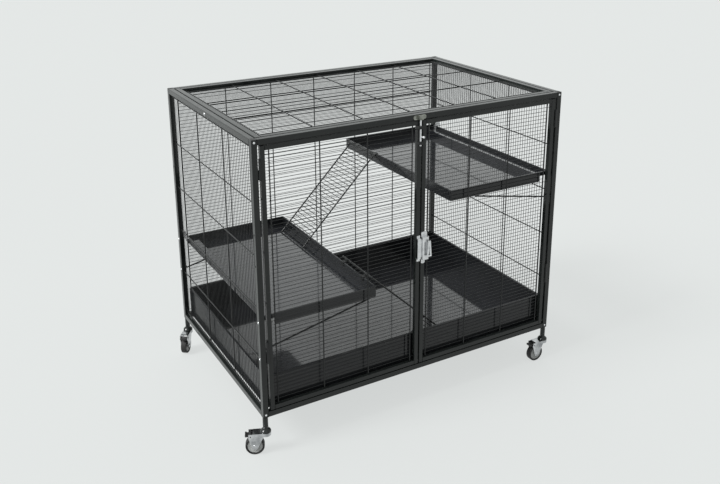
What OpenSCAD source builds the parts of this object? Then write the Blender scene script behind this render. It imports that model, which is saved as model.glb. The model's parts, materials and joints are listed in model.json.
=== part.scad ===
// Two-storey wire pet cage on four swivel casters, with two front doors,
// a base tray, two pan shelves and two rung ramps.
// All numbers are millimetres. The floor is z = 0, the front is -Y.

/* [Cage frame] */
// Outer width of the frame
cage_width = 950; // [860:5:1100]
// Outer depth of the frame
cage_depth = 630; // [560:5:720]
// Height of the frame without its legs and casters
cage_height = 745; // [700:5:860]
// Side of the square frame tube
tube = 15; // [14:0.5:18]
// Wall of the frame tube and the door tube
tube_wall = 1.2; // [0.8:0.1:1.6]
// Gap between the frame and the roof ring inside it
roof_gap = 3; // [2:0.5:5]
// Number of cross tubes that carry the tray
support_count = 2; // [2:1:4]

/* [Doors] */
// Side of the square door tube
door_tube = 12; // [10:0.5:14]
// Gap between a post and the door beside it, where the hinges sit
door_side_gap = 6.5; // [6.5:0.5:9]
// Gap between the two doors where they meet
door_meet_gap = 4; // [3:0.5:6]
// Gap above and below each door
door_end_gap = 2.5; // [2:0.5:5]

/* [Wires] */
// Thickness of the heavy wires
heavy_wire = 3; // [2.6:0.1:3.6]
// Thickness of the fine wires
fine_wire = 1.4; // [1.3:0.1:2]
// Spacing of the fine wires, rounded so that they fill each panel
wire_pitch = 10.7; // [9:0.1:14]
// Clear strip between a tube and the first wire of a panel
wire_strip = 12; // [10:0.5:16]
// Depth that crossing wires bite into each other at a weld
weld_bite = 0.4; // [0.3:0.05:0.5]

/* [Tray and shelves] */
// Thickness of the tray and shelf sheet
sheet = 2; // [1.5:0.1:3]
// Depth of the base tray
tray_depth = 91; // [60:1:110]
// Gap between the tray walls and the side tubes
tray_gap = 2.5; // [2:0.5:10]
// Width of the lower shelf
lower_shelf_width = 331; // [300:1:345]
// Width of the upper shelf
upper_shelf_width = 349; // [300:1:360]
// Height of the lower shelf's rim above the frame's underside
lower_rim = 280; // [260:1:300]
// Height of the upper shelf's rim above the frame's underside
upper_rim = 508; // [480:1:530]
// Depth of a shelf pan
shelf_depth = 30; // [24:1:36]
// Gap between a shelf and the tubes around it
shelf_gap = 2; // [2:0.5:4]
// Radius of the upright corners of the tray and shelves
pan_corner = 6; // [2:0.5:6]
// Height of the rim that is folded inwards round the tray and shelves
rim_fold = 6; // [4:0.5:10]
// Thickness of a brace rod
brace_rod = 4.5; // [4:0.1:5]
// Drop of a lower brace rod from its shelf end to its post end
brace_drop = 66; // [45:1:90]
// Drop of an upper brace rod from its shelf end to its post end
upper_brace_drop = 50; // [40:1:90]
// Distance of a lower brace rod's end from the shelf's free edge
brace_inset = 18; // [12:1:60]
// Distance of an upper brace rod's end from the shelf's free edge
upper_brace_inset = 93; // [12:1:120]
// Width of the shallow ledge along a shelf's outer side
ledge_width = 32; // [20:1:50]
// Depth of that ledge below the rim
ledge_depth = 12; // [9:0.5:18]
// Width of a shelf hook tab at the rim
hook_width = 30; // [24:1:34]
// Height of a shelf hook tab above the rim
hook_height = 26; // [20:1:34]

/* [Ramps] */
// Slope of the upper ramp in degrees
upper_slope = 45.3; // [43:0.1:45.5]
// Slope of the lower ramp in degrees
lower_slope = 43.2; // [40:0.1:47]
// Distance between the side rods of a ramp
ramp_width = 150; // [120:1:170]
// Thickness of the ramp side rods
ramp_rod = 4.4; // [4:0.1:5.4]
// Thickness of the ramp rungs
rung = 2.2; // [1.8:0.1:3]
// Thickness of the cross rod that a ramp turns on
pivot_rod = 6; // [5.6:0.1:6.4]
// Spacing of the ramp rungs
rung_pitch = 12; // [11:0.5:16]

/* [Hinges and latches] */
// Radius of a hinge barrel
barrel_r = 3; // [2.6:0.1:3]
// Length of a lower hinge
lower_hinge = 60; // [50:1:70]
// Length of an upper hinge
upper_hinge = 50; // [40:1:60]
// Height of the lower hinges above the frame's underside
lower_hinge_z = 187; // [150:1:250]
// Height of the upper hinges above the frame's underside
upper_hinge_z = 670; // [600:1:672]
// Thickness of the tower bolt rod
bolt_d = 5; // [4:0.5:6]
// Travel of the tower bolt
bolt_travel = 10; // [6:0.5:11]
// Travel of the middle latch
latch_travel = 9; // [6:0.5:9]
// Height of the middle latch above the frame's underside
latch_z = 378; // [340:1:420]

/* [Legs and casters] */
// Length of a leg below the frame
leg_length = 40; // [30:1:60]
// Diameter of a wheel over its tyre
wheel_d = 50; // [44:1:54]
// Width of a tyre
tyre_width = 18; // [15:0.5:20]
// Distance from a caster's swivel axis to its wheel axis
trail = 29; // [26:0.5:32]
// Height of a caster from the leg's end to the floor
caster_height = 67; // [66:1:76]

/* [Clearances] */
// Radial gap of a pin or axle that turns in its bore
running_gap = 0.05; // [0.03:0.01:0.1]
// Gap between faces of pieces that move past each other
slide_gap = 0.3; // [0.3:0.05:0.6]

/* [Hidden] */

W = cage_width;
D = cage_depth;
H = cage_height;
half = tube / 2;
floor_lift = leg_length + caster_height;
round_fn = 32;
wire_fn = 24;

black = [0.10, 0.11, 0.11];
graphite = [0.22, 0.24, 0.24];
steel = [0.72, 0.73, 0.74];
pale = [0.85, 0.86, 0.86];
rubber = [0.06, 0.06, 0.06];

// doors
door_w = (W - 2 * tube - 2 * door_side_gap - door_meet_gap) / 2;
door_z = tube + door_end_gap;
door_h = H - 2 * tube - 2 * door_end_gap;
door_x = tube + door_side_gap;
left_meet = door_x + door_w;
right_meet = left_meet + door_meet_gap;

// tray
tray_x = tube + tray_gap;
tray_y = tube + tray_gap + sheet;
tray_wall = sheet + 1;

// shelves
shelf_y = tube + shelf_gap;
brace_fall = shelf_depth + brace_rod + brace_drop;
upper_brace_fall = shelf_depth + brace_rod + upper_brace_drop;
left_screws = [lower_rim - 9, lower_rim - brace_fall - 11];
right_screws = [upper_rim - 2, upper_rim - upper_brace_fall];
lower_edge = tube + shelf_gap + lower_shelf_width;
upper_edge = W - tube - shelf_gap - upper_shelf_width;

// ramps: the cross rod sits in a curled strip beside the rim
clip_in = pivot_rod / 2 + slide_gap;
clip_t = 1.5;
clip_w = 15;
clip_end = 3.4;
pivot_rise = pivot_rod / 2;
upper_pivot = [upper_edge - 17, 400, upper_rim + pivot_rise];
lower_pivot = [lower_edge + 12, 70, lower_rim + pivot_rise];
clip_inset = 12;
cross_over = 8;

// wires
layer = heavy_wire / 2 + fine_wire / 2 - weld_bite;
heavy_layer = heavy_wire - weld_bite;

// reach of the bolt knob past the front, and of a caster past the back
knob_lean = 22;
knob_l = 10;
race_d = 28;
front_reach = bolt_d / 2 + 2.5 + knob_l * cos(knob_lean) + bolt_d * 0.7;
back_reach = race_d / 2 - half;
front_shift = (front_reach - back_reach) / 2;

// hinges
axis_x = tube + door_side_gap / 2;
axis_y = -1.5;
pin_r = 1.5;
leaf_t = 1.5;
leaf_w = 10;
pin_head_r = 2.2;
pin_head = 1;

// ---------------------------------------------------------------- helpers

// Frame coordinates: left front bottom corner of the frame at zero
module in_frame() {
  translate([-W / 2, -D / 2 + front_shift, floor_lift]) children();
}

module other_side() {
  translate([W, 0, 0]) mirror([1, 0, 0]) children();
}

module tube_x(l, s = tube) {
  difference() {
    cube([l, s, s]);
    translate([-1, tube_wall, tube_wall]) cube([l + 2, s - 2 * tube_wall, s - 2 * tube_wall]);
  }
}

module tube_y(l, s = tube) {
  difference() {
    cube([s, l, s]);
    translate([tube_wall, -1, tube_wall]) cube([s - 2 * tube_wall, l + 2, s - 2 * tube_wall]);
  }
}

module tube_z(l, s = tube) {
  difference() {
    cube([s, s, l]);
    translate([tube_wall, tube_wall, -1]) cube([s - 2 * tube_wall, s - 2 * tube_wall, l + 2]);
  }
}

module rod_x(l, d, fn = wire_fn) { rotate([0, 90, 0]) cylinder(d = d, h = l, $fn = fn); }
module rod_y(l, d, fn = wire_fn) { rotate([-90, 0, 0]) cylinder(d = d, h = l, $fn = fn); }
module rod_z(l, d, fn = wire_fn) { cylinder(d = d, h = l, $fn = fn); }

// Heavy wire with flats, so that each weld on it is a clean seat
bar_fn = 8;
module bar_z(l) {
  rotate([0, 0, 180 / bar_fn]) cylinder(d = heavy_wire / cos(180 / bar_fn), h = l, $fn = bar_fn);
}
module bar_y(l) { rotate([-90, 0, 0]) bar_z(l); }
module bar_x(l) { rotate([0, 90, 0]) bar_z(l); }

// A flat wire panel in the X-Z plane, from zero to w by h between its tubes.
// Heavy wires stand upright; fine wires lie across them on the +Y side.
// Fine wires named in full reach both tubes; those named in stout are heavy.
module wire_panel(w, h, bays, full, stout) {
  inner_w = w - 2 * wire_strip;
  inner_h = h - 2 * wire_strip;
  n = round(inner_h / wire_pitch);
  for (i = [0 : bays])
    translate([wire_strip + inner_w * i / bays, 0, 0]) bar_z(h);
  for (i = [0 : n]) {
    is_stout = len([for (k = stout) if (round(k * n) == i) 1]) > 0;
    is_full = is_stout || len([for (k = full) if (round(k * n) == i) 1]) > 0;
    translate([is_full ? 0 : wire_strip - heavy_wire, is_stout ? heavy_layer : layer,
        wire_strip + inner_h * i / n]) {
      if (is_stout) bar_x(w);
      else rod_x(is_full ? w : inner_w + 2 * heavy_wire, fine_wire);
    }
  }
}

// ---------------------------------------------------------------- frame

module post_pair() {
  for (y = [0, D - tube]) translate([0, y, 0]) difference() {
    tube_z(H);
    for (z = right_screws)
      translate([-1, half, z]) rod_x(tube / 2, 4, round_fn);
  }
}

module left_posts() { color(graphite) in_frame() post_pair(); }
module right_posts() {
  color(graphite) in_frame() other_side() for (y = [0, D - tube]) translate([0, y, 0]) difference() {
    tube_z(H);
    for (z = left_screws)
      translate([-1, half, z]) rod_x(tube / 2, 4, round_fn);
  }
}

module side_rail_pair() {
  translate([0, tube, 0]) tube_y(D - 2 * tube);
  difference() {
    translate([0, tube, H - tube]) tube_y(D - 2 * tube);
    translate([-1, D / 2, H - half]) rod_x(tube + 2, 4 + 2 * slide_gap, round_fn);
  }
}

module left_side_rails() { color(graphite) in_frame() side_rail_pair(); }
module right_side_rails() { color(graphite) in_frame() other_side() side_rail_pair(); }

module front_rails() {
  color(graphite) in_frame() for (z = [0, H - tube]) translate([tube, 0, z]) tube_x(W - 2 * tube);
}
module back_rails() {
  color(graphite) in_frame() for (z = [0, H - tube])
    translate([tube, D - tube, z]) tube_x(W - 2 * tube);
}

roof_x = tube + roof_gap;
roof_y = tube + roof_gap;

module roof_side_rails() {
  color(graphite) in_frame() for (s = [0, 1]) translate([s * W, 0, 0]) mirror([s, 0, 0]) difference() {
    translate([roof_x, roof_y, H - tube]) tube_y(D - 2 * roof_y);
    translate([roof_x - 1, D / 2, H - half]) rod_x(half, 4 + 2 * slide_gap, round_fn);
  }
}
module roof_cross_rails() {
  color(graphite) in_frame() for (y = [roof_y, D - roof_y - tube])
    translate([roof_x + tube, y, H - tube]) tube_x(W - 2 * roof_x - 2 * tube);
}

module tray_supports() {
  color(graphite) in_frame() for (i = [1 : support_count])
    translate([W * i / (support_count + 1) - half, tube, 0]) tube_y(D - 2 * tube);
}

module post_caps() {
  cap = tube - 2 * tube_wall;
  color(black) in_frame() for (x = [0, W - tube], y = [0, D - tube])
    translate([x + tube_wall, y + tube_wall, H - 6]) cube([cap, cap, 6]);
}

// ---------------------------------------------------------------- wire panels

// Side panel seen from the left: heavy wires along Y, fine wires upright inside
module side_panel() {
  l = D - 2 * tube;
  h = H - 2 * tube;
  translate([half, tube, tube]) {
    n = round((l - 2 * wire_strip) / wire_pitch / 3) * 3;
    rows = 5;
    low = wire_strip - heavy_wire * 1.5;
    for (i = [0 : rows]) translate([0, 0, low + (h - 2 * low) * i / rows]) bar_y(l);
    for (i = [0 : n]) {
      stout = i == n / 3 || i == 2 * n / 3;
      translate([stout ? heavy_layer : layer, wire_strip + (l - 2 * wire_strip) * i / n,
          stout ? 0 : low - heavy_wire]) {
        if (stout) bar_z(h);
        else rod_z(h - 2 * (low - heavy_wire), fine_wire);
      }
    }
  }
}

module left_mesh() { color(black) in_frame() side_panel(); }
module right_mesh() { color(black) in_frame() other_side() side_panel(); }

module back_mesh() {
  color(black) in_frame() translate([tube, D - half, tube]) mirror([0, 1, 0])
    wire_panel(W - 2 * tube, H - 2 * tube, 6, [0, 1], []);
}

module roof_mesh() {
  w = W - 2 * (roof_x + tube);
  d = D - 2 * (roof_y + tube);
  color(black) in_frame() translate([roof_x + tube, roof_y + tube, H - half])
    mirror([0, 0, 1]) rotate([90, 0, 0]) mirror([0, 0, 1])
      wire_panel(w, d, 6, [], [2 / 51, 18 / 51, 35 / 51, 1]);
}

// ---------------------------------------------------------------- tray and shelves

module plan(l, w, r) {
  translate([r, 0]) square([l - 2 * r, w]);
  translate([0, r]) square([l, w - 2 * r]);
  for (x = [r, l - r], y = [r, w - r]) translate([x, y]) circle(r = r, $fn = round_fn);
}

// Side of a pan along x, at y = 0: outline of the upright sheet, and its rim folded inwards.
// The floor's top is at z = 0, and the rim's top at h.
module side_x(l, w, h, t) {
  intersection() {
    union() {
      cube([l, t, h]);
      translate([0, 0, h - rim_fold]) cube([l, 2 * t, rim_fold]);
    }
    linear_extrude(h) plan(l, w, pan_corner);
  }
}

// Side of a pan along y, at x = 0, slit from the sides along x at both corners
corner_slit = 0.3;
module side_y(l, w, h, t) {
  intersection() {
    union() {
      translate([0, t + corner_slit, 0])
        cube([t, w - 2 * t - 2 * corner_slit, h - rim_fold - corner_slit]);
      translate([0, 2 * t + corner_slit, 0]) {
        cube([t, w - 4 * t - 2 * corner_slit, h]);
        translate([0, 0, h - rim_fold]) cube([2 * t, w - 4 * t - 2 * corner_slit, rim_fold]);
      }
    }
    linear_extrude(h) plan(l, w, pan_corner);
  }
}

tray_l = W - 2 * tray_x;
tray_w = D - 2 * tray_y;
module base_tray() {
  color(black) in_frame() translate([tray_x, tray_y, tube])
    linear_extrude(tray_wall) plan(tray_l, tray_w, pan_corner);
}
module tray_sides() {
  h = tray_depth - tray_wall;
  for (s = [0, 1]) {
    translate([0, s * tray_w, 0]) mirror([0, s, 0]) side_x(tray_l, tray_w, h, tray_wall);
    translate([s * tray_l, 0, 0]) mirror([s, 0, 0]) side_y(tray_l, tray_w, h, tray_wall);
  }
}

// Floor of a shelf with its outer side at x = 0: the ledge, the step down and the pan's floor
shelf_w = D - 2 * shelf_y;
ledge_top = shelf_depth - ledge_depth + sheet;
module shelf(l) {
  intersection() {
    translate([0, shelf_w, 0]) rotate([90, 0, 0]) linear_extrude(shelf_w)
      polygon([[0, ledge_top - sheet], [ledge_width, ledge_top - sheet], [ledge_width, 0], [l, 0],
          [l, sheet], [ledge_width + sheet, sheet], [ledge_width + sheet, ledge_top], [0, ledge_top]]);
    linear_extrude(shelf_depth) plan(l, shelf_w, pan_corner);
  }
}

// Sides of a shelf, which stand on its floor, and are cut to stand on the ledge where that is
module shelf_sides(l) {
  h = shelf_depth - sheet;
  difference() {
    translate([0, 0, sheet]) {
      for (s = [0, 1]) translate([0, s * shelf_w, 0]) mirror([0, s, 0]) side_x(l, shelf_w, h, sheet);
      for (s = [0, 1]) translate([s * l, 0, 0]) mirror([s, 0, 0]) side_y(l, shelf_w, h, sheet);
    }
    translate([-1, -1, -1]) cube([ledge_width + sheet + 1, shelf_w + 2, ledge_top + 1]);
  }
}

module pan_sides() {
  color(black) in_frame() {
    translate([tray_x, tray_y, tube + tray_wall]) tray_sides();
    translate([tube + shelf_gap, shelf_y, lower_rim - shelf_depth]) shelf_sides(lower_shelf_width);
    translate([W - tube - shelf_gap, shelf_y, upper_rim - shelf_depth]) mirror([1, 0, 0])
      shelf_sides(upper_shelf_width);
  }
}

module lower_shelf() {
  color(black) in_frame() translate([tube + shelf_gap, shelf_y, lower_rim - shelf_depth])
    shelf(lower_shelf_width);
}
module upper_shelf() {
  color(black) in_frame() translate([W - tube - shelf_gap, shelf_y, upper_rim - shelf_depth])
    mirror([1, 0, 0]) shelf(upper_shelf_width);
}

// Tab that stands on a shelf's outer rim against the side panel
hook_x = half + layer + fine_wire / 2;
hook_t = 1.5;
hook_tip = 12;
hook_inset = hook_width / 2 + 4 * sheet;

module hook_tab(rim) {
  translate([hook_x, 0, rim]) rotate([90, 0, 90]) linear_extrude(hook_t)
    polygon([[-hook_width / 2, 0], [hook_width / 2, 0], [hook_tip / 2, hook_height],
        [-hook_tip / 2, hook_height]]);
  translate([hook_x, -hook_tip / 2, rim])
    cube([tube + shelf_gap + 2 * sheet + hook_t - hook_x, hook_tip, hook_t]);
  translate([tube + shelf_gap + 2 * sheet, -hook_tip / 2, rim - ledge_depth + sheet])
    cube([hook_t, hook_tip, ledge_depth - sheet + hook_t]);
}

// Strip on a rim that curls round a ramp's cross rod; reach is from rim to rod
module ramp_clip(reach) {
  translate([0, clip_w, 0]) rotate([90, 0, 0]) {
    rotate_extrude(angle = 250, start = 200, $fn = round_fn)
      translate([clip_in, 0]) square([clip_t, clip_w]);
    translate([clip_end, -pivot_rise, 0]) cube([reach - clip_end + 2 * sheet + clip_t, clip_t, clip_w]);
    translate([reach + 2 * sheet, -pivot_rise - rim_fold - 4, 0])
      cube([clip_t, rim_fold + 4 + clip_t, clip_w]);
  }
}

module shelf_hooks() {
  color(steel) in_frame() {
    translate([0, D - shelf_y - hook_inset, 0]) hook_tab(lower_rim);
    other_side() translate([0, D - shelf_y - hook_inset, 0]) hook_tab(upper_rim);
  }
}

// Brace rod from under a shelf, at x = end, down to the post beside it
brace_y = 25;
brace_x = tube - 1.5;
module brace(end, rim, drop) {
  run = end - brace_x;
  lean = atan(drop / run);
  top = rim - shelf_depth - brace_rod;
  translate([brace_x, brace_y, top - drop]) {
    rotate([0, 90 - lean, 0]) cylinder(d = brace_rod, h = run / cos(lean), $fn = wire_fn);
    sphere(d = brace_rod * 1.04, $fn = wire_fn);
    translate([0, tube - brace_y, 0]) rod_y(brace_y - tube, brace_rod * 0.94);
  }
  translate([end, brace_y, top]) {
    sphere(d = brace_rod * 1.04, $fn = wire_fn);
    rod_z(brace_rod, brace_rod * 0.94);
  }
}

// Brace rods, and the strips that carry the ramps
module shelf_braces() {
  color(black) in_frame() {
    for (s = [0, 1]) translate([0, s * D, 0]) mirror([0, s, 0]) {
      brace(lower_edge - brace_inset, lower_rim, brace_drop);
      other_side() brace(W - upper_edge - upper_brace_inset, upper_rim, upper_brace_drop);
    }
    for (y = [clip_inset, ramp_width - clip_inset - clip_w]) {
      translate([upper_pivot[0], upper_pivot[1] + y, upper_pivot[2]])
        ramp_clip(upper_edge - upper_pivot[0]);
      translate([lower_pivot[0], lower_pivot[1] + y, lower_pivot[2]]) mirror([1, 0, 0])
        ramp_clip(lower_pivot[0] - lower_edge);
    }
  }
}

// ---------------------------------------------------------------- ramps

// Ramp that hangs from the origin towards +X, with its rods at y = 0 and ramp_width
module ramp(drop, slope) {
  l = (drop - ramp_rod / 2 * cos(slope)) / sin(slope);
  translate([0, -cross_over, 0]) rod_y(ramp_width + 2 * cross_over, pivot_rod);
  rotate([0, slope, 0]) {
    for (y = [0, ramp_width]) translate([0, y, 0]) rod_x(l, ramp_rod);
    for (x = [15 : rung_pitch : l - 6]) translate([x, 0, 0]) rod_y(ramp_width, rung);
  }
}

module upper_ramp() {
  color(black) in_frame() translate(upper_pivot) mirror([1, 0, 0])
    ramp(upper_pivot[2] - (lower_rim - shelf_depth + sheet) - slide_gap, upper_slope);
}
module lower_ramp() {
  color(black) in_frame() translate(lower_pivot)
    ramp(lower_pivot[2] - (tube + tray_wall) - slide_gap, lower_slope);
}

// ---------------------------------------------------------------- door frames

module door_stile_pair() {
  for (x = [door_x, left_meet - door_tube]) translate([x, 0, door_z]) tube_z(door_h, door_tube);
}
module door_rail_pair() {
  for (z = [door_z, door_z + door_h - door_tube])
    translate([door_x + door_tube, 0, z]) tube_x(door_w - 2 * door_tube, door_tube);
}
module door_panel() {
  translate([door_x + door_tube, door_tube / 2, door_z + door_tube])
    wire_panel(door_w - 2 * door_tube, door_h - 2 * door_tube, 3, [0, 1 / 3, 2 / 3, 1], []);
}

module left_door_stiles() { color(graphite) in_frame() door_stile_pair(); }
module right_door_stiles() { color(graphite) in_frame() other_side() door_stile_pair(); }
module left_door_rails() { color(graphite) in_frame() door_rail_pair(); }
module right_door_rails() { color(graphite) in_frame() other_side() door_rail_pair(); }
module left_door_mesh() { color(black) in_frame() door_panel(); }
module right_door_mesh() { color(black) in_frame() other_side() door_panel(); }

// ---------------------------------------------------------------- hinges

// Barrel with a leaf towards side s (-1 post, 1 door), from z0, height h
module knuckle(s, bore, h) {
  difference() {
    union() {
      rod_z(h, 2 * barrel_r, round_fn);
      translate([s > 0 ? door_side_gap / 2 - leaf_t : -door_side_gap / 2, 0, 0])
        cube([leaf_t, leaf_w - axis_y, h]);
    }
    translate([0, 0, -1]) rod_z(h + 2, 2 * bore, round_fn);
  }
}

module at_hinges() {
  translate([axis_x, axis_y, lower_hinge_z]) children(0);
  translate([axis_x, axis_y, upper_hinge_z]) children(1);
}

module leaf_pair() {
  at_hinges() {
    translate([0, 0, -lower_hinge / 2]) knuckle(-1, pin_r, lower_hinge / 2 - slide_gap / 2);
    translate([0, 0, -upper_hinge / 2]) knuckle(-1, pin_r, upper_hinge / 2 - slide_gap / 2);
  }
}
module knuckle_pair() {
  at_hinges() {
    translate([0, 0, slide_gap / 2]) knuckle(1, pin_r + running_gap, lower_hinge / 2 - slide_gap / 2);
    translate([0, 0, slide_gap / 2]) knuckle(1, pin_r + running_gap, upper_hinge / 2 - slide_gap / 2);
  }
}
module hinge_pin(l) {
  translate([0, 0, -l / 2]) rod_z(l + slide_gap, 2 * pin_r, round_fn);
  translate([0, 0, -l / 2 - pin_head]) rod_z(pin_head, 2 * pin_head_r, round_fn);
  translate([0, 0, l / 2 + slide_gap]) rod_z(pin_head, 2 * pin_head_r, round_fn);
}

module hinge_leaves() { color(black) in_frame() { leaf_pair(); other_side() leaf_pair(); } }
module hinge_pins() {
  color(black) in_frame() for (s = [0, 1]) translate([s * W, 0, 0]) mirror([s, 0, 0])
    at_hinges() { hinge_pin(lower_hinge); hinge_pin(upper_hinge); }
}
module left_door_knuckles() { color(black) in_frame() knuckle_pair(); }
module right_door_knuckles() { color(black) in_frame() other_side() knuckle_pair(); }

// ---------------------------------------------------------------- tower bolt

bolt_x = left_meet - door_tube / 2;
bolt_y = -(bolt_d / 2 + 2.5);
bolt_top = H - tube + 1 - slide_gap;
bolt_reach = 70;
bolt_low = bolt_top - bolt_reach;
housing_h = 50;
guide_span = 54;
guide_h = 8;
guide_t = 2.5;
keeper_w = 39;
keeper_h = 12;
plate_t = 1.5;

// Block round the bolt, open towards nothing, with a bore of radius r
module bolt_guide(r, h) {
  difference() {
    translate([-door_tube / 2, bolt_y - r - guide_t + 1, 0])
      cube([door_tube, -bolt_y + r + guide_t - 1, h]);
    translate([0, bolt_y, -1]) rod_z(h + 2, 2 * r, round_fn);
  }
}

module bolt_housing() {
  color(steel) in_frame() translate([bolt_x, 0, 0]) {
    translate([0, 0, bolt_low + 4]) rotate([90, 0, 0]) linear_extrude(plate_t) {
      translate([-door_tube / 2, 0]) square([door_tube, housing_h]);
      circle(d = door_tube, $fn = round_fn);
    }
    translate([0, 0, bolt_low + 4]) bolt_guide(bolt_d / 2 + running_gap, guide_h);
    translate([0, 0, bolt_low + guide_span - guide_h]) bolt_guide(bolt_d / 2 + running_gap, guide_h);
  }
}

module bolt_rod() {
  color(steel) in_frame() translate([bolt_x, bolt_y, 0]) {
    translate([0, 0, bolt_low]) rod_z(bolt_top - bolt_low, bolt_d, round_fn);
    translate([0, 0, bolt_low + 25]) rotate([90, 0, knob_lean]) {
      cylinder(d = bolt_d * 0.8, h = knob_l, $fn = round_fn);
      translate([0, 0, knob_l]) sphere(d = bolt_d * 1.4, $fn = round_fn);
    }
  }
}

module bolt_keeper() {
  color(steel) in_frame() translate([bolt_x, 0, H - tube + 1]) {
    for (s = [0, 1]) mirror([s, 0, 0]) rotate([90, 0, 0]) linear_extrude(plate_t) {
      translate([door_tube / 2, 0]) square([keeper_w / 2 - door_tube / 2 - keeper_h / 2, keeper_h]);
      translate([keeper_w / 2 - keeper_h / 2, keeper_h / 2]) circle(d = keeper_h, $fn = round_fn);
    }
    bolt_guide(bolt_d / 2 + slide_gap, keeper_h);
    for (x = [-keeper_w / 2 + 6, keeper_w / 2 - 6])
      translate([x, -plate_t, keeper_h / 2]) dome(5, 1.2);
  }
}

// ---------------------------------------------------------------- middle latch

body_w = 20;
body_h = 66;
body_d = 10;
body_round = 2.5;
tongue_t = 3;
tongue_h = body_h - 14;
tongue_y = 1.5;
strap_h = body_h + 9;
neck_w = 4;
handle_h = 46;

module latch_keeper() {
  rise = tongue_y + tongue_t + slide_gap;
  w = door_tube - 2;
  color(steel) in_frame() translate([left_meet - w, 0, latch_z - strap_h / 2 - 8]) {
    for (z = [0, strap_h - 9]) translate([0, -plate_t, z]) cube([w, plate_t, 9]);
    for (z = [9 - plate_t, strap_h - 9]) translate([0, -rise - plate_t, z]) cube([w, rise + plate_t, plate_t]);
    translate([0, -rise - plate_t, 9 - plate_t]) cube([w, plate_t, strap_h - 18 + 2 * plate_t]);
    for (z = [4, strap_h - 4]) translate([w / 2, -plate_t, z]) dome(4, 1);
  }
}

tongue_z = latch_z - 8 - tongue_h / 2;
tongue_rest = left_meet + 1;

module latch_body() {
  color(steel) in_frame() translate([right_meet, 0, tongue_z - 7]) {
    difference() {
      translate([0, -body_d, 0]) linear_extrude(body_h) {
        plan(body_w, body_d, body_round);
        translate([0, body_round]) square([body_w, body_d - body_round]);
      }
      translate([-1, -tongue_y - tongue_t - slide_gap, 7 - slide_gap])
        cube([body_w + 2, tongue_t + 2 * slide_gap, tongue_h + 2 * slide_gap]);
      translate([body_w - neck_w - latch_travel - 2, -body_d - 1, 13])
        cube([neck_w + latch_travel + 1, body_d - tongue_y, body_h - 26]);
    }
    for (s = [0, 1]) translate([0, 0, s * body_h]) mirror([0, 0, 1 - s]) rotate([90, 0, 0])
      linear_extrude(plate_t) {
        square([body_w * (s == 1 ? 0.9 : 0.6), 9]);
        translate([4, 0]) square([body_w * (s == 1 ? 0.9 : 0.6) - 8, 13]);
        for (x = [4, body_w * (s == 1 ? 0.9 : 0.6) - 4]) translate([x, 9]) circle(r = 4, $fn = round_fn);
      }
    for (z = [-7, body_h + 7]) translate([door_tube / 2, -plate_t, z]) dome(5, 1.2);
  }
}

module latch_bolt() {
  neck_x = right_meet + body_w - 1 - neck_w - slide_gap;
  color(pale) in_frame() {
    translate([tongue_rest, -tongue_y - tongue_t, tongue_z])
      cube([right_meet + body_w - 1 - tongue_rest, tongue_t, tongue_h]);
    translate([neck_x, -body_d - 4, tongue_z + 8]) cube([neck_w, body_d + 4 - tongue_y, tongue_h - 16]);
    translate([neck_x + neck_w / 2, -body_d - 4, tongue_z + (tongue_h - handle_h) / 2])
      rotate([90, 0, 0]) linear_extrude(tongue_t) difference() {
        polygon([[-4, handle_h], [4, handle_h], [7.5, 0], [-7.5, 0]]);
        polygon([[0, handle_h - 14], [3.5, 4], [-3.5, 4]]);
      }
  }
}

// ---------------------------------------------------------------- screws

// Domed head that sits on the front face, its flat at y = 0
module dome(d = 6, h = 1.6) {
  r = (d * d / 4 + h * h) / (2 * h);
  rotate([90, 0, 0]) rotate_extrude($fn = round_fn) intersection() {
    translate([0, h - r]) circle(r = r, $fn = 96);
    square([d, h]);
  }
}

module screws() {
  color(steel) in_frame() {
    for (x = [half, W - half], z = [half, H - half]) translate([x, 0, z]) dome();
    for (s = [0, 1]) translate([s * W, 0, 0]) mirror([s, 0, 0]) {
      for (y = [half, D - half], z = s == 0 ? left_screws : right_screws)
        translate([0, y, z]) rotate([0, 0, -90]) dome();
      translate([0, D / 2, H - half]) rotate([0, 0, -90]) dome(8, 2);
      translate([0, D / 2, H - half]) rod_x(tube + roof_gap + tube / 2, 4, round_fn);
      translate([tube, D / 2, H - half]) rod_x(roof_gap, 8, round_fn);
    }
  }
}

// ---------------------------------------------------------------- legs and casters

race_t = 3;
cap_h = 8;
cap_r = (race_d * race_d / 4 + cap_h * cap_h) / (2 * cap_h);
crown_h = 9;
crown_wall = 1.5;
head_r = 6;
stem_r = 4;
stem_head_r = 6;
stem_head = 3;
fork_t = 2;
fork_top = race_t + slide_gap;
fork_plate = 3;
cheek_y = tyre_width / 2 + 1.5;
wheel_z = -caster_height + wheel_d / 2;
hub_r = wheel_d / 2 - 5;
axle_r = 2.5;
nut_h = 3;
pedal_x = trail + 11;
pedal_z = -(fork_top + fork_plate + 4.7);
pedal_l = 14;

module legs() {
  color(graphite) in_frame() for (x = [half, W - half], y = [half, D - half]) translate([x, y, 0]) {
    translate([0, 0, -leg_length]) cylinder(d = tube - 0.6, h = leg_length, $fn = round_fn);
    translate([0, 0, -leg_length]) rotate_extrude($fn = round_fn) intersection() {
      translate([0, cap_h - cap_r]) circle(r = cap_r, $fn = 96);
      translate([0, -race_t]) square([race_d / 2, race_t + cap_h]);
    }
    translate([0, 0, -leg_length - fork_top - fork_plate - slide_gap - stem_head])
      cylinder(r = stem_r, h = fork_top + fork_plate + stem_head + slide_gap, $fn = round_fn);
    translate([0, 0, -leg_length - fork_top - fork_plate - slide_gap - stem_head])
      cylinder(r = stem_head_r, h = stem_head, $fn = round_fn);
  }
}

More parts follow.
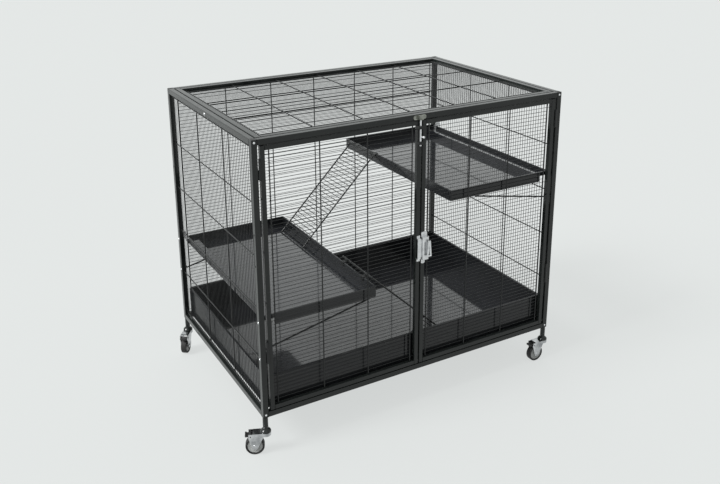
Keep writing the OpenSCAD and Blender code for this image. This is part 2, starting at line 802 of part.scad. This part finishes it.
// Caster pieces with the swivel axis at zero and the wheel towards +X
module fork() {
  difference() {
    union() {
      translate([0, 0, -fork_top]) rotate_extrude($fn = round_fn)
        polygon([[0, 0], [race_d / 2, 0], [race_d / 2, -crown_h], [race_d / 2 - crown_wall, -crown_h],
            [race_d / 2 - crown_wall, -fork_plate], [0, -fork_plate]]);
      translate([0, -cheek_y - fork_t, -fork_top - fork_plate])
        cube([pedal_x - 6, 2 * (cheek_y + fork_t), fork_plate]);
      for (y = [-cheek_y - fork_t, cheek_y]) translate([0, y + fork_t, 0]) rotate([90, 0, 0])
        linear_extrude(fork_t) polygon([[2, -fork_top - 0.5], [pedal_x + 5, -fork_top - 0.5],
            [pedal_x + 5, pedal_z - 5], [trail + 8, wheel_z - 2], [trail + 5, wheel_z - 7],
            [trail - 5, wheel_z - 7], [trail - 9, wheel_z - 1]]);
    }
    translate([0, 0, -fork_top - fork_plate - 1])
      cylinder(r = stem_r + running_gap, h = fork_plate + 2, $fn = round_fn);
    translate([trail, -cheek_y - fork_t - 1, wheel_z]) rod_y(2 * (cheek_y + fork_t + 1), 2 * axle_r, round_fn);
    translate([pedal_x, -cheek_y - fork_t - 1, pedal_z])
      rod_y(2 * (cheek_y + fork_t + 1), 2 * (pin_r + running_gap), round_fn);
  }
}

module wheel() {
  difference() {
    union() {
      translate([trail, -tyre_width / 2 + 2, wheel_z]) rod_y(tyre_width - 4, 2 * hub_r, 48);
      translate([trail, -cheek_y + slide_gap, wheel_z]) rod_y(2 * (cheek_y - slide_gap), 14, round_fn);
    }
    translate([trail, -cheek_y, wheel_z]) rod_y(2 * cheek_y, 2 * (axle_r + running_gap), round_fn);
  }
}

module tyre() {
  translate([trail, 0, wheel_z]) difference() {
    translate([0, -tyre_width / 2, 0]) rod_y(tyre_width, wheel_d, 64);
    translate([0, -tyre_width / 2 - 1, 0]) rod_y(tyre_width + 2, 2 * hub_r, 48);
  }
}

module axle() {
  reach = cheek_y + fork_t;
  translate([trail, 0, wheel_z]) {
    translate([0, -reach, 0]) rod_y(2 * reach, 2 * axle_r, round_fn);
    translate([0, -reach, 0]) dome(2 * head_r, nut_h);
    translate([0, reach, 0]) rotate([0, 0, 180]) dome(2 * head_r, nut_h);
  }
}

module brake() {
  translate([pedal_x, 0, pedal_z]) {
    translate([0, -cheek_y + slide_gap, 0]) rod_y(2 * (cheek_y - slide_gap), 6, round_fn);
    translate([0, -cheek_y - fork_t - 1, 0]) rod_y(2 * (cheek_y + fork_t + 1), 2 * pin_r, round_fn);
    translate([0, -tyre_width / 2, -1.5]) cube([pedal_l, tyre_width, 3]);
    translate([pedal_l - 4, -tyre_width / 2, -1.5]) cube([4, tyre_width, 5]);
  }
}

module at_lf() { in_frame() translate([half, half, -leg_length]) rotate([0, 0, 156]) children(); }
module at_rf() { in_frame() translate([W - half, half, -leg_length]) rotate([0, 0, 180]) children(); }
module at_lb() { in_frame() translate([half, D - half, -leg_length]) rotate([0, 0, -127]) children(); }
module at_rb() { in_frame() translate([W - half, D - half, -leg_length]) rotate([0, 0, -24]) children(); }

module lf_fork() { color(steel) at_lf() fork(); }
module lf_wheel() { color(pale) at_lf() wheel(); }
module lf_tyre() { color(rubber) at_lf() tyre(); }
module lf_axle() { color(steel) at_lf() axle(); }
module lf_brake() { color(black) at_lf() brake(); }
module rf_fork() { color(steel) at_rf() fork(); }
module rf_wheel() { color(pale) at_rf() wheel(); }
module rf_tyre() { color(rubber) at_rf() tyre(); }
module rf_axle() { color(steel) at_rf() axle(); }
module rf_brake() { color(black) at_rf() brake(); }
module lb_fork() { color(steel) at_lb() fork(); }
module lb_wheel() { color(pale) at_lb() wheel(); }
module lb_tyre() { color(rubber) at_lb() tyre(); }
module lb_axle() { color(steel) at_lb() axle(); }
module lb_brake() { color(black) at_lb() brake(); }
module rb_fork() { color(steel) at_rb() fork(); }
module rb_wheel() { color(pale) at_rb() wheel(); }
module rb_tyre() { color(rubber) at_rb() tyre(); }
module rb_axle() { color(steel) at_rb() axle(); }
module rb_brake() { color(black) at_rb() brake(); }

left_posts();
right_posts();
left_side_rails();
right_side_rails();
front_rails();
back_rails();
roof_side_rails();
roof_cross_rails();
left_mesh();
right_mesh();
back_mesh();
roof_mesh();
tray_supports();
post_caps();
screws();
base_tray();
lower_shelf();
upper_shelf();
pan_sides();
shelf_hooks();
shelf_braces();
hinge_leaves();
hinge_pins();
bolt_keeper();
legs();
left_door_stiles();
left_door_rails();
left_door_mesh();
left_door_knuckles();
latch_keeper();
bolt_housing();
right_door_stiles();
right_door_rails();
right_door_mesh();
right_door_knuckles();
latch_body();
bolt_rod();
latch_bolt();
upper_ramp();
lower_ramp();
lf_fork();
lf_wheel();
lf_tyre();
lf_axle();
lf_brake();
rf_fork();
rf_wheel();
rf_tyre();
rf_axle();
rf_brake();
lb_fork();
lb_wheel();
lb_tyre();
lb_axle();
lb_brake();
rb_fork();
rb_wheel();
rb_tyre();
rb_axle();
rb_brake();
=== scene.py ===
import json
import math

import bpy
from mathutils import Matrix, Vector

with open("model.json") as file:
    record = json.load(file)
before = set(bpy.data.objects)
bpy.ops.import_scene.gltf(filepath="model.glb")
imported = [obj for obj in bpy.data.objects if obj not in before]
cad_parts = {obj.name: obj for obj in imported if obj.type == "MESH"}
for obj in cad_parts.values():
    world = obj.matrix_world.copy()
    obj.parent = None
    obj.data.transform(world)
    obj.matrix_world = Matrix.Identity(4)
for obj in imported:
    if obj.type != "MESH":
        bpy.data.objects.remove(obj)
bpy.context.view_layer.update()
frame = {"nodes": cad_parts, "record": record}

NODES = frame["nodes"]
SCENE = bpy.context.scene


# ---------------------------------------------------------------- node helpers

def add(tree, kind, values=None, feeds=None, operation=None):
    """A new node, with values for its inputs by name or place, and the sockets that feed them."""
    node = tree.nodes.new("ShaderNode" + kind)
    if operation is not None:
        node.operation = operation
    for key, value in (values or {}).items():
        node.inputs[key].default_value = value
    for key, socket in (feeds or {}).items():
        tree.links.new(socket, node.inputs[key])
    return node


def higher(tree, first, second):
    return add(tree, "Math", feeds={0: first, 1: second}, operation="MAXIMUM").outputs[0]


def empty_tree(owner):
    owner.use_nodes = True
    owner.node_tree.nodes.clear()
    return owner.node_tree


# ---------------------------------------------------------------- materials

DRIFT_DETAIL = 4.0
WORN_SCALE, WORN_DETAIL, WORN_ROUGH = 7.0, 5.0, 0.6
GRAIN_DETAIL = 2.0
RAMP_FROM, RAMP_TO = 0.3, 0.7
SPAN_FROM, SPAN_TO = 0.25, 0.75


def noise(tree, where, scale, detail, rough=0.5, stretch=None):
    if stretch is not None:
        where = add(tree, "Mapping", {"Scale": stretch}, {"Vector": where}).outputs["Vector"]
    values = {"Scale": scale, "Detail": detail, "Roughness": rough}
    return add(tree, "TexNoise", values, {"Vector": where}).outputs["Fac"]


def ramp(tree, value, low, high):
    node = add(tree, "ValToRGB", feeds={"Fac": value})
    stops = node.color_ramp.elements
    stops[0].position, stops[1].position = RAMP_FROM, RAMP_TO
    stops[0].color, stops[1].color = (*low, 1), (*high, 1)
    return node.outputs["Color"]


def span(tree, value, low, high):
    values = {"From Min": SPAN_FROM, "From Max": SPAN_TO, "To Min": low, "To Max": high}
    return add(tree, "MapRange", values, {"Value": value}).outputs["Result"]


def bump(tree, value, height):
    values = {"Strength": 1.0, "Distance": height}
    return add(tree, "Bump", values, {"Height": value}).outputs["Normal"]


def surface(name, low, high, rough, metal=0.0, coat=0.0, coat_rough=0.1, tint_scale=9.0,
            grain=900.0, grain_h=0.00004, stretch=None, specular=0.5):
    """A finish: its colour drifts between low and high, with a fine grain in its height."""
    mat = bpy.data.materials.new(name)
    mat.use_nodes = True
    tree = mat.node_tree
    inputs = tree.nodes["Principled BSDF"].inputs
    where = add(tree, "TexCoord").outputs["Object"]
    drift = noise(tree, where, tint_scale, DRIFT_DETAIL)
    worn = noise(tree, where, tint_scale * WORN_SCALE, WORN_DETAIL, WORN_ROUGH)
    fine = noise(tree, where, grain, GRAIN_DETAIL, stretch=stretch)
    tree.links.new(ramp(tree, drift, low, high), inputs["Base Color"])
    tree.links.new(span(tree, worn, *rough), inputs["Roughness"])
    tree.links.new(bump(tree, fine, grain_h), inputs["Normal"])
    inputs["Metallic"].default_value = metal
    inputs["Coat Weight"].default_value = coat
    inputs["Coat Roughness"].default_value = coat_rough
    inputs["Specular IOR Level"].default_value = specular
    return mat


MATERIALS = {
    "frame_coat": surface("frame_coat", (0.009, 0.011, 0.0105), (0.017, 0.020, 0.019),
                          (0.20, 0.30), coat=0.50, coat_rough=0.07, grain=420.0, specular=0.12),
    "wire_coat": surface("wire_coat", (0.008, 0.009, 0.009), (0.016, 0.017, 0.017), (0.28, 0.40),
                         coat=0.12, specular=0.30, grain=1500.0, grain_h=0.00002),
    "pan_black": surface("pan_black", (0.012, 0.013, 0.015), (0.020, 0.021, 0.024), (0.08, 0.16),
                         coat=1.0, coat_rough=0.04, tint_scale=5.0, grain=220.0,
                         grain_h=0.000006),
    # The same coat as the pans, made darker and less glossy: painted shade on the walls of the
    # pans
    "pan_side_painted_shade": surface("pan_side_painted_shade", (0.009, 0.010, 0.011), (0.015, 0.016, 0.018), (0.16, 0.26),
                        coat=0.50, coat_rough=0.06, tint_scale=5.0, grain=220.0,
                        grain_h=0.000006, specular=0.15),
    "zinc_dull": surface("zinc_dull", (0.16, 0.17, 0.15), (0.40, 0.41, 0.37), (0.28, 0.45),
                         metal=0.85, tint_scale=90.0, grain=500.0, grain_h=0.00003),
    "zinc": surface("zinc", (0.62, 0.63, 0.64), (0.80, 0.81, 0.82), (0.22, 0.40), metal=0.85,
                    tint_scale=60.0, grain=500.0, grain_h=0.00003, stretch=(1, 1, 6)),
    "cap_black": surface("cap_black", (0.012, 0.012, 0.012), (0.022, 0.022, 0.022), (0.45, 0.60),
                         grain=1300.0, grain_h=0.00005),
    "caster_chrome": surface("caster_chrome", (0.26, 0.27, 0.28), (0.68, 0.69, 0.70),
                             (0.08, 0.20), metal=1.0, tint_scale=40.0, grain=300.0,
                             grain_h=0.00003),
    "wheel_pale": surface("wheel_pale", (0.42, 0.43, 0.42), (0.55, 0.56, 0.55), (0.30, 0.45),
                          tint_scale=50.0, grain=1100.0),
    "tyre_black": surface("tyre_black", (0.010, 0.010, 0.010), (0.020, 0.020, 0.020),
                          (0.55, 0.75), grain=1700.0, grain_h=0.00008),
}

# Nodes whose finish here differs from their slot in the record. The pan sides take a darker, less
# glossy copy of the pan coat, which is painted shade on the walls of the pans
OWN_FINISH = {"bolt_keeper": "zinc_dull", "pan_sides": "pan_side_painted_shade"}

slot_of = {s["node"]: s["material_slot"] for s in frame["record"]["subparts"]}
for name, obj in NODES.items():
    obj.data.materials.clear()
    obj.data.materials.append(MATERIALS[OWN_FINISH.get(name, slot_of[name])])


# ---------------------------------------------------------------- rounding

WELD_REACH = 0.00001
SHARP_ANGLE = math.radians(35.0)


def soften(name, width, segments):
    """Joins the split edges of a node and rounds its sharp edges a little."""
    obj = NODES[name]
    weld = obj.modifiers.new("weld", "WELD")
    weld.merge_threshold = WELD_REACH
    bev = obj.modifiers.new("round", "BEVEL")
    bev.width = width
    bev.segments = segments
    bev.limit_method = "ANGLE"
    bev.angle_limit = SHARP_ANGLE
    bev.harden_normals = True


TUBES = ["left_posts", "right_posts", "left_side_rails", "right_side_rails", "front_rails",
         "back_rails", "roof_side_rails", "roof_cross_rails", "left_door_stiles",
         "left_door_rails", "right_door_stiles", "right_door_rails"]
LATCHES = ["latch_body", "latch_bolt", "latch_keeper", "bolt_keeper", "bolt_housing"]
CORNERS = ["lf", "rf", "lb", "rb"]

# Width and segments of the round, and the nodes that get it
ROUNDS = [
    (0.0014, 2, TUBES),
    (0.0008, 2, ["base_tray", "lower_shelf", "upper_shelf"]),
    (0.0006, 2, ["pan_sides"]),
    (0.0004, 2, LATCHES),
    (0.0003, 2, [c + "_fork" for c in CORNERS]),
    (0.0025, 4, [c + "_tyre" for c in CORNERS]),
    (0.0010, 2, [c + "_wheel" for c in CORNERS]),
    (0.0008, 2, [c + "_brake" for c in CORNERS]),
]
for width, segments, names in ROUNDS:
    for name in names:
        soften(name, width, segments)


# ---------------------------------------------------------------- world

BACK = (0.776, 0.799, 0.791, 1)
BRIGHT_SIDE = Vector((-0.55, 0.35, 0.76)).normalized()
STUDIO_TINT = (0.97, 1.0, 0.99, 1)
STUDIO_LEVEL = {"From Min": -0.40, "From Max": 0.75, "To Min": 0.02, "To Max": 1.15}

# A studio that is brighter towards one side lights the pieces. The camera, reflections and
# clear materials see a plain background instead.
world = bpy.data.worlds.new("studio")
SCENE.world = world
wt = empty_tree(world)
direction = add(wt, "TexCoord").outputs["Generated"]
lean = add(wt, "VectorMath", {1: BRIGHT_SIDE}, {0: direction}, "DOT_PRODUCT")
level = add(wt, "MapRange", STUDIO_LEVEL, {"Value": lean.outputs["Value"]})
level.interpolation_type = "SMOOTHSTEP"
studio = add(wt, "Background", {"Color": STUDIO_TINT}, {"Strength": level.outputs["Result"]})
plain = add(wt, "Background", {"Color": BACK, "Strength": 1.0})
rays = add(wt, "LightPath").outputs
direct = higher(wt, rays["Is Camera Ray"], rays["Is Glossy Ray"])
seen = higher(wt, direct, rays["Is Transmission Ray"])
mix = add(wt, "MixShader", feeds={"Fac": seen, 1: studio.outputs[0], 2: plain.outputs[0]})
add(wt, "OutputWorld", feeds={"Surface": mix.outputs[0]})


# ---------------------------------------------------------------- lights

def sun(name, toward, strength, angle):
    lamp = bpy.data.lights.new(name, "SUN")
    lamp.energy = strength
    lamp.angle = math.radians(angle)
    obj = bpy.data.objects.new(name, lamp)
    SCENE.collection.objects.link(obj)
    obj.rotation_mode = "QUATERNION"
    obj.rotation_quaternion = Vector(toward).to_track_quat("-Z", "Y")


sun("key", (0.74, -0.06, -0.68), 3.2, 20.0)
sun("fill", (0.10, 0.90, -0.45), 0.12, 60.0)


# ---------------------------------------------------------------- floor

FLOOR_HALF = 40.0
FLOOR_TINT = (0.10, 0.103, 0.102, 1)
FLOOR_GLOW = 0.80

# The floor takes soft shadows and glows with the background where it is seen
floor_mat = bpy.data.materials.new("floor_pale")
ft = empty_tree(floor_mat)
lit = add(ft, "BsdfDiffuse", {"Color": FLOOR_TINT})
rays = add(ft, "LightPath").outputs
seen = higher(ft, rays["Is Camera Ray"], rays["Is Glossy Ray"])
strength = add(ft, "Math", {1: FLOOR_GLOW}, {0: seen}, "MULTIPLY").outputs[0]
glow = add(ft, "Emission", {"Color": BACK}, {"Strength": strength})
both = add(ft, "AddShader", feeds={0: lit.outputs[0], 1: glow.outputs[0]})
add(ft, "OutputMaterial", feeds={"Surface": both.outputs[0]})

floor_mesh = bpy.data.meshes.new("floor")
corners = [(x * FLOOR_HALF, y * FLOOR_HALF, 0) for x, y in ((-1, -1), (1, -1), (1, 1), (-1, 1))]
floor_mesh.from_pydata(corners, [], [(0, 1, 2, 3)])
floor_mesh.materials.append(floor_mat)
floor = bpy.data.objects.new("floor", floor_mesh)
SCENE.collection.objects.link(floor)


# ---------------------------------------------------------------- camera

# Fitted to the corners of the tube frame, in pixels of a picture 720 wide and 484 high
PICTURE_WIDTH, PICTURE_MIDDLE = 720.0, 242.0
FOCAL_PIXELS = 845.7
AXIS_ROW = 150.0
PITCH, ROLL, HEADING = 17.12, 0.33, -29.77
SENSOR_WIDTH = 36.0

cam_data = bpy.data.cameras.new("camera")
cam_data.sensor_width = SENSOR_WIDTH
cam_data.lens = FOCAL_PIXELS / PICTURE_WIDTH * SENSOR_WIDTH
cam_data.shift_y = (AXIS_ROW - PICTURE_MIDDLE) / PICTURE_WIDTH
cam_data.clip_start = 0.05
cam_data.clip_end = 200.0
cam = bpy.data.objects.new("camera", cam_data)
SCENE.collection.objects.link(cam)
cam.location = (-1.1830, -2.0603, 1.4042)
cam.rotation_mode = "XYZ"
cam.rotation_euler = [math.radians(a) for a in (90.0 - PITCH, ROLL, HEADING)]
SCENE.camera = cam

SCENE.view_settings.view_transform = "Standard"
